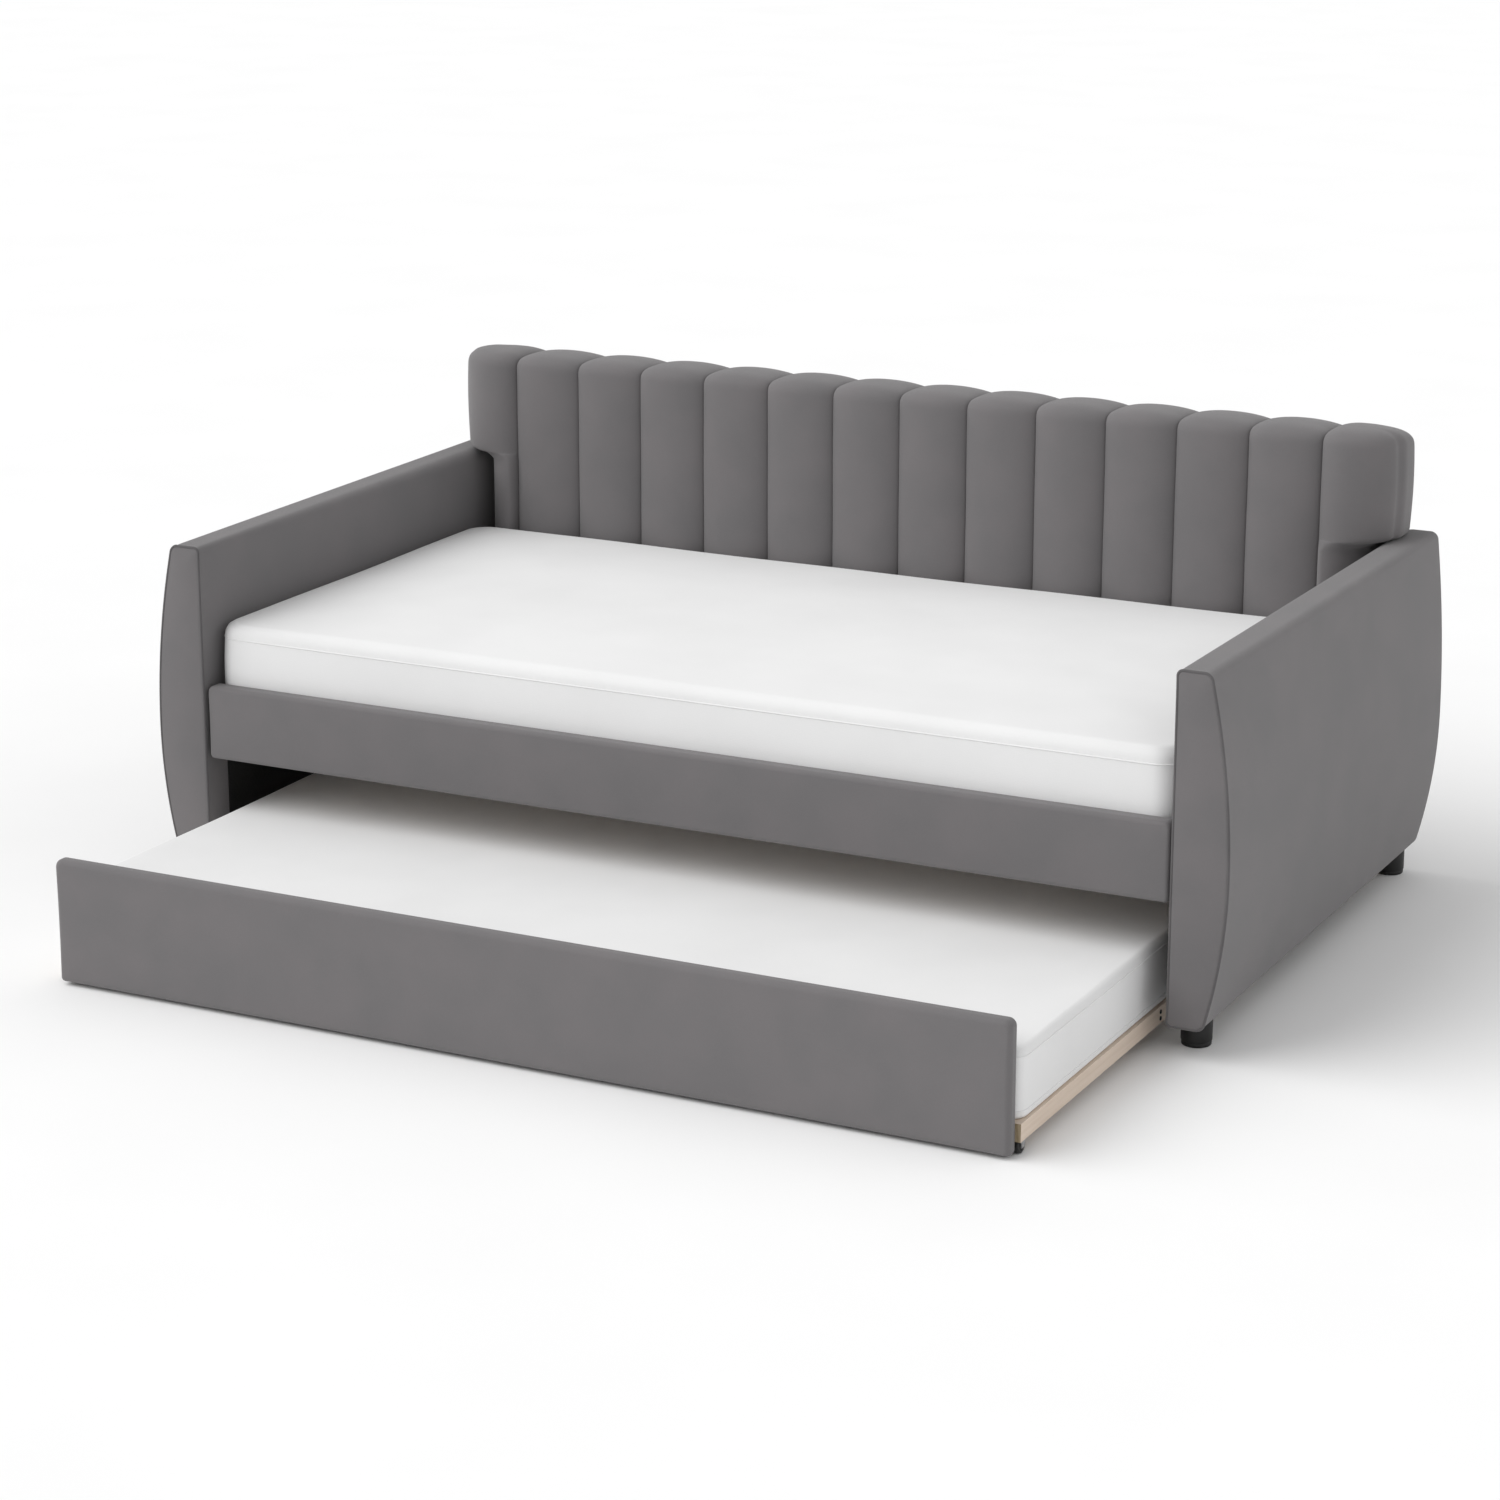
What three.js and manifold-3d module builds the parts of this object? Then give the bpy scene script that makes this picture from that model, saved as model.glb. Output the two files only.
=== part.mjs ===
// Upholstered daybed with a roll-out trundle. Millimetres, +Z up, +X to the right, +Y to the back.
// The origin is on the floor, midway along X and midway between the trundle's front and the
// bed's back as they stand here, with the trundle drawn part of the way out.
import * as THREE from "three";
import { mergeVertices } from "three/addons/utils/BufferGeometryUtils.js";
import Module from "manifold-3d";

const wasm = await Module();
wasm.setup();

// Driving dimensions. Places along Y are measured from the front plane of the arms.
const gap = 0.3; // clearance between touching pieces
const innerWidth = 1955; // between the two arms
const bedDepth = 1203; // front of the arms to their back
const trundleDrawn = 550; // trundle front ahead of the arms' front

// Arms
const armBottom = 55.7;
const armTop = 684;
const armCrownHeight = 330; // where the outer side bulges most
const armThicknessBottom = 64.5;
const armThicknessCrown = 102.5;
const armThicknessTop = 60.5;
const armEdgeRadius = 18;
const armPadding = 8; // inner face to the frame
const armFrameThickness = 45;
const armFrameInset = 15; // cover front and back to the frame
const armFrameTopInset = 20;
const armFrameMember = 60;
const baseClothThickness = 2.4;
const liningThickness = 1.2;
const liningFront = 73;
const liningTop = 271;
const liningInset = 4;
const liningBackGap = 8; // lining to the back frame

// Feet
const footRadius = 27.5;
const footBaseRadius = 26;
const footChamfer = 1.5;
const footInset = 23.5; // arm's inner face to the foot's axis
const footFront = 93;
const footBackInset = 35;
const studRadius = 4;
const studLength = 22;
const studClearance = 0.6;

// Front rail
const railFront = 5.4;
const railThickness = 36;
const railBottom = 272.9;
const railTop = 415.5;
const railEndGap = 5;
const railPadding = 7.7;
const railCornerRadius = 12;

// Slats, ledgers and corner brackets
const ledgerSection = { depth: 30, height: 40 };
const ledgerLift = 0.6; // rail's lower edge to the ledger
const ledgerEndInset = 97.5;
const slatCount = 11;
const slatWidth = 70;
const slatThickness = 18;
const slatEndInset = 87.5; // arm to the middle of the end slat
const bracketThickness = 3;
const bracketHeight = 36;
const bracketArmLeg = 58;
const bracketRailLeg = 87;

// Mattresses
const mattressThickness = 200;
const mattressSideGap = 9.5;
const mattressCornerRadius = 40;

// Backrest
const channelCount = 14;
const endChannelWidth = 101.5; // outermost seam to the arm
const channelBulge = 22;
const backrestDepth = 179; // seams to the bed's back
const headRoundDepth = 90; // how far back the head's end channels curve
const headRoundWidth = 97;
const seatRoundDepth = 130;
const seatRoundWidth = 85;
const seatBackRadius = 6;
const backTop = 893.3;
const headOverlap = 41.5; // how far the upper part lies over each arm
const headArmGap = 4;
const backSideGap = 6;
const backFrameThickness = 68;
const backFrameMember = 60;
const backFramePostSpan = 600; // between the two middle posts
const backFrameBottom = 62;
const backSidePadding = 16;
const headSidePadding = 40;
const headBackRadius = 25; // the head's upright edges at the back
const backTopPadding = 50;
const headUnderPadding = 15;
const backClothThickness = 3;
const backClothInset = 32; // head's sides to the back cloth
const backClothDrop = 46; // head's top to the back cloth
const backInset = 2; // bed's back plane to the back cloth
const endBulgeInset = 35; // outermost seam to where the end channel starts to round

// Trundle
const panelEndInset = 8.5; // side rail's outer face to the panel's end
const panelThickness = 28.4;
const panelBottom = 5.7;
const panelTop = 236;
const panelPadding = 8;
const panelEdgePadding = 5;
const panelCornerRadius = 18;
const trundleSideGap = 44; // arm to the side rail
const trundleBackGap = 120.6; // back frame to the trundle when it is pushed in
const sideRailWidth = 40;
const sideRailBottom = 24.5;
const sideRailTop = 56;
const crossRailWidth = 25;
const crossRailBottom = 15;
const trundleSlatCount = 9;
const trundleSlatWidth = 60;
const trundleSlatThickness = 12;
const trundleSlatEndInset = 113.5; // side rail to the middle of the end slat
const trundleMattressTop = 177;
const trundleMattressSideGap = 3.5;
const trundleMattressEndGap = 4;
const trundleCornerRadius = 35;

// Casters
const wheelRadius = 15;
const wheelWidth = 12;
const wheelBore = 2.3;
const axleRadius = 2;
const pocketEndWall = 4; // rail end to the caster's pocket
const casterSideInset = 11; // rail's outer face to the wheel's middle
const forkThickness = 1.5;
const forkClearance = 0.6;
const forkWidth = 24;
const earWidth = 12;
const earBottom = 10;
const wheelTopGap = 3;
const pocketGap = 2; // around the fork and the wheel

// Values worked out from those above
const halfInner = innerWidth / 2;
const seatBase = railBottom + ledgerLift + ledgerSection.height;
const slatTop = seatBase + gap + slatThickness;
const mattressTop = slatTop + gap + mattressThickness;
const slatPitch = (innerWidth - 2 * slatEndInset) / (slatCount - 1);
const railBack = railFront + railThickness;
const channelPitch = (innerWidth - 2 * endChannelWidth) / (channelCount - 2);
const valleyPlane = bedDepth - backrestDepth;
const crestPlane = valleyPlane - channelBulge;
const clothBack = bedDepth - backInset;
const clothFront = clothBack - backClothThickness;
const frameBack = clothFront - gap;
const frameFront = frameBack - backFrameThickness;
const panelBack = -trundleDrawn + panelThickness;
const trundleFront = panelBack + gap;
const trundleHalfWidth = halfInner - trundleSideGap;
const trundleLength = frameFront - trundleBackGap - (railFront + panelThickness + gap);
const trundleBack = trundleFront + trundleLength;
const sideRailInner = trundleHalfWidth - sideRailWidth;
const trundleSlatPitch = (2 * (sideRailInner - trundleSlatEndInset)) / (trundleSlatCount - 1);
const panelLength = 2 * (trundleHalfWidth - panelEndInset);
const wheelHalfChord = Math.sqrt(wheelRadius ** 2 - Math.max(0, sideRailBottom - wheelRadius) ** 2);
const pocketHalf = Math.max(forkWidth / 2, wheelHalfChord) + pocketGap;
const pocketTop = 2 * wheelRadius + wheelTopGap + forkThickness + gap;
const casterInset = pocketEndWall + pocketHalf;
const originY = (bedDepth - trundleDrawn) / 2;

const fabric = new THREE.MeshStandardMaterial({ color: 0x747173, roughness: 0.85, metalness: 0 });
const lining = new THREE.MeshStandardMaterial({ color: 0x161616, roughness: 0.95, metalness: 0 });
const ticking = new THREE.MeshStandardMaterial({ color: 0xf2f1f0, roughness: 0.8, metalness: 0 });
const timber = new THREE.MeshStandardMaterial({ color: 0xc1b0a1, roughness: 0.6, metalness: 0 });
const plastic = new THREE.MeshStandardMaterial({ color: 0x1f1f1f, roughness: 0.45, metalness: 0 });
const steel = new THREE.MeshStandardMaterial({ color: 0xa8a9ab, roughness: 0.35, metalness: 1 });

const sides = [
  { name: "left", sign: -1 },
  { name: "right", sign: 1 },
];

// A closed geometry as a solid for cutting and joining.
function solidOf(geometry) {
  const bare = geometry.clone();
  bare.deleteAttribute("normal");
  bare.deleteAttribute("uv");
  const merged = mergeVertices(bare, 1e-3);
  return new wasm.Manifold(
    new wasm.Mesh({
      numProp: 3,
      vertProperties: new Float32Array(merged.attributes.position.array),
      triVerts: new Uint32Array(merged.index.array),
    }),
  );
}

// A solid as a geometry again.
function geometryOf(solid) {
  const mesh = solid.getMesh();
  const geometry = new THREE.BufferGeometry();
  geometry.setAttribute("position", new THREE.BufferAttribute(mesh.vertProperties, 3));
  geometry.setIndex(new THREE.BufferAttribute(mesh.triVerts, 1));
  geometry.computeVertexNormals();
  return geometry;
}

const cut = (body, ...tools) =>
  geometryOf(tools.reduce((left, tool) => left.subtract(solidOf(tool)), solidOf(body)));
const join = (body, ...others) =>
  geometryOf(others.reduce((sum, other) => sum.add(solidOf(other)), solidOf(body)));

function named(name, geometry, material) {
  const mesh = new THREE.Mesh(geometry, material);
  mesh.name = name;
  return mesh;
}

// A box between two values on each axis, whichever of the two is lower.
function block([xa, xb], [ya, yb], [za, zb]) {
  const size = [Math.abs(xb - xa), Math.abs(yb - ya), Math.abs(zb - za)];
  const geometry = new THREE.BoxGeometry(...size);
  return geometry.translate((xa + xb) / 2, (ya + yb) / 2, (za + zb) / 2);
}

// An outline in X and Z, carried along Y from front to back.
function alongY(shape, front, back, curveSegments = 4) {
  const options = { depth: back - front, bevelEnabled: false, curveSegments };
  return new THREE.ExtrudeGeometry(shape, options).rotateX(Math.PI / 2).translate(0, back, 0);
}

// An outline in Y and Z, carried along X.
function alongX(shape, low, high, curveSegments = 4) {
  const options = { depth: high - low, bevelEnabled: false, curveSegments };
  const turn = new THREE.Matrix4().makeBasis(
    new THREE.Vector3(0, 1, 0),
    new THREE.Vector3(0, 0, 1),
    new THREE.Vector3(1, 0, 0),
  );
  return new THREE.ExtrudeGeometry(shape, options).applyMatrix4(turn).translate(low, 0, 0);
}

// An outline in X and Y, carried up Z.
function alongZ(shape, low, high, curveSegments = 4) {
  const options = { depth: high - low, bevelEnabled: false, curveSegments };
  return new THREE.ExtrudeGeometry(shape, options).translate(0, 0, low);
}

function roundedRectangle([ua, ub], [va, vb], radius) {
  const shape = new THREE.Shape();
  shape.moveTo(ua + radius, va);
  shape.lineTo(ub - radius, va).quadraticCurveTo(ub, va, ub, va + radius);
  shape.lineTo(ub, vb - radius).quadraticCurveTo(ub, vb, ub - radius, vb);
  shape.lineTo(ua + radius, vb).quadraticCurveTo(ua, vb, ua, vb - radius);
  shape.lineTo(ua, va + radius).quadraticCurveTo(ua, va, ua + radius, va);
  return shape;
}

// Arm thickness at a height: a parabola either side of the crown.
function armThickness(z) {
  const below = z < armCrownHeight;
  const end = below ? armBottom : armTop;
  const thickness = below ? armThicknessBottom : armThicknessTop;
  const share = (z - armCrownHeight) / (end - armCrownHeight);
  return armThicknessCrown - (armThicknessCrown - thickness) * share * share;
}

// Flat inner face, rounded top edges and an outer side that swells and draws in again.
function armSection(sign) {
  const x = (thickness) => sign * (halfInner + thickness);
  const shoulder = armTop - armEdgeRadius;
  const steps = 14;
  const shape = new THREE.Shape();
  shape.moveTo(x(0), armBottom).lineTo(x(0), shoulder);
  shape.quadraticCurveTo(x(0), armTop, x(armEdgeRadius), armTop);
  shape.lineTo(x(armThicknessTop - armEdgeRadius), armTop);
  shape.quadraticCurveTo(x(armThicknessTop), armTop, x(armThickness(shoulder)), shoulder);
  for (let step = 1; step <= steps; step++) {
    const z = shoulder + ((armBottom - shoulder) * step) / steps;
    shape.lineTo(x(armThickness(z)), z);
  }
  return shape;
}

function stud(sign, y, radius) {
  const length = studLength + 2 * baseClothThickness;
  const hole = new THREE.CylinderGeometry(radius, radius, length, 12).rotateX(Math.PI / 2);
  return hole.translate(sign * (halfInner + footInset), y, armBottom + length / 2 - gap);
}

// One arm: timber frame, padded cover, base cloth, black lining and two feet.
function makeArm({ name, sign }) {
  const arm = new THREE.Group();
  const frameX = [armPadding, armPadding + armFrameThickness].map((t) => sign * (halfInner + t));
  const pocketX = [armPadding - gap, armPadding + armFrameThickness + gap].map(
    (t) => sign * (halfInner + t),
  );
  const frameY = [armFrameInset, bedDepth - armFrameInset];
  const frameZ = [armBottom + baseClothThickness + 2 * gap, armTop - armFrameTopInset];
  const pocketY = [frameY[0] - gap, frameY[1] + gap];
  const footY = [footFront, bedDepth - footBackInset];
  const holes = footY.map((y) => stud(sign, y, studRadius + studClearance));

  const middle = (frameY[0] + frameY[1]) / 2;
  const windowZ = [frameZ[0] + armFrameMember, frameZ[1] - armFrameMember];
  const windows = [
    [frameY[0] + armFrameMember, middle - armFrameMember / 2],
    [middle + armFrameMember / 2, frameY[1] - armFrameMember],
  ].map((windowY) => block([frameX[0] - sign, frameX[1] + sign], windowY, windowZ));
  const frame = cut(block(frameX, frameY, frameZ), ...windows, ...holes);
  arm.add(named(name + "_arm_frame", frame, timber));

  const cover = alongY(armSection(sign), 0, bedDepth);
  const pocket = block(pocketX, pocketY, [armBottom - 1, frameZ[1] + gap]);
  arm.add(named(name + "_arm_cover", cut(cover, pocket), fabric));

  const baseCloth = block(frameX, frameY, [armBottom, armBottom + baseClothThickness]);
  arm.add(named(name + "_arm_base_cloth", cut(baseCloth, ...holes), lining));

  const liningX = [gap, gap + liningThickness].map((t) => sign * (halfInner - t));
  const liningY = [liningFront, frameFront - liningBackGap];
  const liningZ = [armBottom + liningInset, liningTop];
  arm.add(named(name + "_arm_lining", block(liningX, liningY, liningZ), lining));

  ["front", "back"].forEach((end, index) => {
    const top = armBottom - gap;
    const profile = [
      [0, 0],
      [footBaseRadius - footChamfer, 0],
      [footBaseRadius, footChamfer],
      [footRadius, top],
      [studRadius, top],
      [studRadius, top + studLength],
      [0, top + studLength],
    ];
    const lathe = new THREE.LatheGeometry(
      profile.map(([r, z]) => new THREE.Vector2(r, z)),
      28,
    ).rotateX(Math.PI / 2);
    const foot = named(name + "_" + end + "_foot", lathe, plastic);
    foot.position.set(sign * (halfInner + footInset), footY[index], 0);
    arm.add(foot);
  });
  return arm;
}

// The front rail: a board in a padded cover that is open at the back.
function makeFrontRail() {
  const rail = new THREE.Group();
  const halfLength = halfInner - railEndGap;
  const cavityX = halfLength - railPadding;
  const cavityZ = [railBottom + railPadding, railTop - railPadding];
  const board = [railFront + railPadding + gap, railBack - gap];
  const outline = roundedRectangle([-halfLength, halfLength], [railBottom, railTop], railCornerRadius);
  const cavity = block([-cavityX, cavityX], [board[0] - gap, railBack + 1], cavityZ);
  rail.add(named("front_rail_cover", cut(alongY(outline, railFront, railBack), cavity), fabric));
  const boardX = cavityX - gap;
  const boardZ = [cavityZ[0] + gap, cavityZ[1] - gap];
  rail.add(named("front_rail_board", block([-boardX, boardX], board, boardZ), timber));
  return rail;
}

// Ledgers on the front rail and on the back frame, slats across them, and four corner brackets.
function makePlatform() {
  const platform = new THREE.Group();
  const ledgerX = halfInner - ledgerEndInset;
  const ledgerZ = [seatBase - ledgerSection.height, seatBase];
  const frontY = [railBack + gap, railBack + gap + ledgerSection.depth];
  const backY = [frameFront - gap - ledgerSection.depth, frameFront - gap];
  platform.add(named("front_ledger", block([-ledgerX, ledgerX], frontY, ledgerZ), timber));
  platform.add(named("back_ledger", block([-ledgerX, ledgerX], backY, ledgerZ), timber));
  for (let index = 0; index < slatCount; index++) {
    const x = (index - (slatCount - 1) / 2) * slatPitch;
    const slat = new THREE.BoxGeometry(slatWidth, backY[1] - frontY[0], slatThickness);
    const mesh = named("bed_slat_" + (index + 1), slat, timber);
    mesh.position.set(x, (frontY[0] + backY[1]) / 2, seatBase + gap + slatThickness / 2);
    platform.add(mesh);
  }
  const bracketZ = [ledgerZ[0] + bracketThickness, ledgerZ[0] + bracketThickness + bracketHeight];
  for (const { name, sign } of sides)
    for (const [end, y, along] of [
      ["front", frontY[0], 1],
      ["back", backY[1], -1],
    ]) {
      const outer = sign * (halfInner - gap);
      const inner = sign * (halfInner - gap - bracketThickness);
      const railLegX = [outer, outer - sign * bracketRailLeg];
      const railLeg = block(railLegX, [y, y + along * bracketThickness], bracketZ);
      const armLeg = block([outer, inner], [y, y + along * bracketArmLeg], bracketZ);
      platform.add(named(name + "_" + end + "_bracket", join(railLeg, armLeg), steel));
    }
  return platform;
}

function mattress(name, halfLength, [front, back], [bottom, top], radius) {
  const outline = roundedRectangle([-halfLength, halfLength], [front, back], radius);
  return named(name, alongZ(outline, bottom, top, 3), ticking);
}

// Plan of the channelled front for one half-width: swells between the seams, and at each end
// a quarter ellipse back to the side.
function channelPlan(halfWidth, roundWidth, roundDepth, backRadius) {
  const stepsPerChannel = 6;
  const roundSteps = 6;
  const half = [];
  const lastSeam = (channelCount / 2 - 1) * channelPitch;
  const steps = (channelCount / 2 - 1) * stepsPerChannel;
  for (let step = 0; step <= steps; step++) {
    const x = (lastSeam * step) / steps;
    const across = 2 * ((x / channelPitch) % 1) - 1;
    const onSeam = step % stepsPerChannel === 0;
    half.push([x, valleyPlane - (onSeam ? 0 : channelBulge * (1 - Math.abs(across) ** 2.5))]);
  }
  const crestX = Math.max(halfWidth - roundWidth, lastSeam + endBulgeInset);
  for (let step = 0; step <= roundSteps; step++) {
    const angle = ((Math.PI / 2) * step) / roundSteps;
    const x = crestX + (halfWidth - crestX) * Math.sin(angle);
    half.push([x, crestPlane + roundDepth * (1 - Math.cos(angle))]);
  }
  for (let step = 0; step <= roundSteps; step++) {
    const angle = ((Math.PI / 2) * step) / roundSteps;
    const x = halfWidth - backRadius * (1 - Math.cos(angle));
    half.push([x, frameBack - backRadius * (1 - Math.sin(angle))]);
  }
  const mirrored = half.slice(1).map(([x, y]) => [-x, y]);
  const points = [...mirrored.reverse(), ...half];
  return new THREE.Shape(points.map(([x, y]) => new THREE.Vector2(x, y)));
}

// The backrest: a T-shaped frame that is solid up to the seat and in three bays above, the
// channelled cushion over it, and a cloth across the back.
function makeBackrest() {
  const backrest = new THREE.Group();
  const lowerHalf = halfInner - backSideGap;
  const upperHalf = halfInner + headOverlap;
  const headBottom = armTop + headArmGap;
  const frameLower = lowerHalf - backSidePadding;
  const frameUpper = upperHalf - headSidePadding;
  const shelf = headBottom + headUnderPadding;
  const frameTop = backTop - backTopPadding;
  const cushionBottom = slatTop + 2 * gap;

  const outline = tee(frameLower, frameUpper, [backFrameBottom, shelf, frameTop]);
  const innerPost = [-1, 1].map((edge) => (backFramePostSpan + edge * backFrameMember) / 2);
  const endPost = frameLower - backFrameMember;
  const bays = [
    [-endPost, -innerPost[1]],
    [-innerPost[0], innerPost[0]],
    [innerPost[1], endPost],
  ];
  const bayZ = [seatBase, frameTop - backFrameMember];
  const windows = bays.map((x) => block(x, [frameFront - 1, frameBack + 1], bayZ));
  const frame = cut(alongY(outline, frameFront, frameBack), ...windows);
  backrest.add(named("back_frame", frame, timber));

  const seatPlan = channelPlan(lowerHalf, seatRoundWidth, seatRoundDepth, seatBackRadius);
  const headPlan = channelPlan(upperHalf, headRoundWidth, headRoundDepth, headBackRadius);
  const lower = alongZ(seatPlan, cushionBottom, headBottom + 1);
  const upper = alongZ(headPlan, headBottom, backTop);
  const pocket = tee(frameLower + gap, frameUpper + gap, [backFrameBottom, shelf - gap, frameTop + gap]);
  const pocketBody = alongY(pocket, frameFront - gap, frameBack + 1);
  const cushion = solidOf(lower).add(solidOf(upper)).subtract(solidOf(pocketBody));
  backrest.add(named("backrest_cushion", geometryOf(cushion), fabric));

  const clothTop = backTop - backClothDrop;
  const clothUpper = upperHalf - backClothInset;
  const cloth = tee(lowerHalf, clothUpper, [backFrameBottom, headBottom, clothTop]);
  backrest.add(named("back_cloth", alongY(cloth, clothFront, clothBack), fabric));
  return backrest;
}

// A T standing on its stem, about X = 0: half-widths of stem and head, and three heights.
function tee(stem, head, [bottom, shelf, top]) {
  const half = [
    [stem, bottom],
    [stem, shelf],
    [head, shelf],
    [head, top],
  ];
  const mirrored = half.map(([x, z]) => [-x, z]).reverse();
  return new THREE.Shape([...half, ...mirrored].map(([x, z]) => new THREE.Vector2(x, z)));
}

// The trundle's front: a board in a padded cover that is open at the back.
function makeTrundleFront() {
  const front = new THREE.Group();
  const halfLength = panelLength / 2;
  const outline = roundedRectangle([-halfLength, halfLength], [panelBottom, panelTop], panelCornerRadius);
  const cavityX = halfLength - panelEdgePadding;
  const cavityZ = [panelBottom + panelEdgePadding, panelTop - panelEdgePadding];
  const boardFront = -trundleDrawn + panelPadding + gap;
  const cavityOutline = roundedRectangle([-cavityX, cavityX], cavityZ, panelCornerRadius);
  const cavity = alongY(cavityOutline, boardFront - gap, panelBack + 1);
  const cover = cut(alongY(outline, -trundleDrawn, panelBack), cavity);
  front.add(named("trundle_front_cover", cover, fabric));
  const boardOutline = roundedRectangle(
    [-cavityX + gap, cavityX - gap],
    [cavityZ[0] + gap, cavityZ[1] - gap],
    panelCornerRadius,
  );
  front.add(named("trundle_front_board", alongY(boardOutline, boardFront, panelBack), timber));
  return front;
}

// The trundle's base: side rails let out for the casters, cross rails, and slats over them.
function makeTrundleBase() {
  const base = new THREE.Group();
  const crossHalf = sideRailInner - gap;
  const crossTop = sideRailTop - trundleSlatThickness - gap;
  const pocketSide = wheelWidth / 2 + forkClearance + forkThickness + gap;
  for (const { name, sign } of sides) {
    const railX = [sign * sideRailInner, sign * trundleHalfWidth];
    const rail = block(railX, [trundleFront, trundleBack], [sideRailBottom, sideRailTop]);
    const middle = sign * (trundleHalfWidth - casterSideInset);
    const pockets = [trundleFront + casterInset, trundleBack - casterInset].map((y) =>
      block(
        [middle - pocketSide, middle + pocketSide],
        [y - pocketHalf, y + pocketHalf],
        [sideRailBottom - 1, pocketTop],
      ),
    );
    base.add(named("trundle_" + name + "_rail", cut(rail, ...pockets), timber));
  }
  const centre = (trundleFront + trundleBack) / 2;
  for (const [name, y] of [
    ["front", trundleFront + crossRailWidth / 2],
    ["centre", centre],
    ["back", trundleBack - crossRailWidth / 2],
  ]) {
    const rail = block(
      [-crossHalf, crossHalf],
      [y - crossRailWidth / 2, y + crossRailWidth / 2],
      [crossRailBottom, crossTop],
    );
    base.add(named("trundle_" + name + "_rail", rail, timber));
  }
  for (let index = 0; index < trundleSlatCount; index++) {
    const slat = new THREE.BoxGeometry(trundleSlatWidth, trundleLength, trundleSlatThickness);
    const mesh = named("trundle_slat_" + (index + 1), slat, timber);
    const x = (index - (trundleSlatCount - 1) / 2) * trundleSlatPitch;
    mesh.position.set(x, centre, sideRailTop - trundleSlatThickness / 2);
    base.add(mesh);
  }
  return base;
}

// One caster about its own axle: a steel fork with its axle, and the wheel that turns on it.
function makeCaster(name) {
  const caster = new THREE.Group();
  const plateTop = pocketTop - gap;
  const innerEar = wheelWidth / 2 + forkClearance;
  const outerEar = innerEar + forkThickness;
  const plateBottom = plateTop - forkThickness;
  const ear = new THREE.Shape(
    [
      [-earWidth / 2, earBottom],
      [earWidth / 2, earBottom],
      [forkWidth / 2, plateTop],
      [-forkWidth / 2, plateTop],
    ].map(([y, z]) => new THREE.Vector2(y, z)),
  );
  const plate = block([-outerEar, outerEar], [-forkWidth / 2, forkWidth / 2], [plateBottom, plateTop]);
  const axle = new THREE.CylinderGeometry(axleRadius, axleRadius, 2 * outerEar, 12);
  axle.rotateZ(Math.PI / 2).translate(0, 0, wheelRadius);
  const fork = join(plate, alongX(ear, -outerEar, -innerEar), alongX(ear, innerEar, outerEar), axle);
  caster.add(named("trundle_" + name + "_caster_fork", fork, steel));
  const half = wheelWidth / 2;
  const profile = [
    [wheelBore, -half],
    [wheelRadius - 1, -half],
    [wheelRadius, 1 - half],
    [wheelRadius, half - 1],
    [wheelRadius - 1, half],
    [wheelBore, half],
    [wheelBore, -half],
  ];
  const tyre = new THREE.LatheGeometry(
    profile.map(([r, x]) => new THREE.Vector2(r, x)),
    32,
  ).rotateZ(Math.PI / 2);
  const wheel = named("trundle_" + name + "_wheel", tyre, plastic);
  wheel.position.z = wheelRadius;
  caster.add(wheel);
  return caster;
}

function makeTrundle() {
  const trundle = new THREE.Group();
  trundle.add(makeTrundleFront(), makeTrundleBase());
  for (const { name, sign } of sides)
    for (const [end, y] of [
      ["front", trundleFront + casterInset],
      ["back", trundleBack - casterInset],
    ]) {
      const caster = makeCaster(name + "_" + end);
      caster.position.set(sign * (trundleHalfWidth - casterSideInset), y, 0);
      trundle.add(caster);
    }
  const halfLength = trundleHalfWidth - trundleMattressSideGap;
  const reach = [trundleFront + trundleMattressEndGap, trundleBack - trundleMattressEndGap];
  const height = [sideRailTop + gap, trundleMattressTop];
  trundle.add(mattress("trundle_mattress", halfLength, reach, height, trundleCornerRadius));
  return trundle;
}

const bed = new THREE.Group();
bed.add(...sides.map(makeArm), makeFrontRail(), makePlatform(), makeBackrest());
bed.add(
  mattress(
    "bed_mattress",
    halfInner - mattressSideGap,
    [railBack + 2 * gap, crestPlane - gap],
    [slatTop + gap, mattressTop],
    mattressCornerRadius,
  ),
);

const group = new THREE.Group();
group.add(bed, makeTrundle());
group.position.y = -originY;

export default group;
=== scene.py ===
"""Upholstered daybed with a trundle bed drawn out from under it: a channelled back, two swelling arms, timber
slats, two mattresses and four casters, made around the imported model. Lengths are in metres unless a name says mm."""
from math import cos, pi, radians, sin

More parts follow.
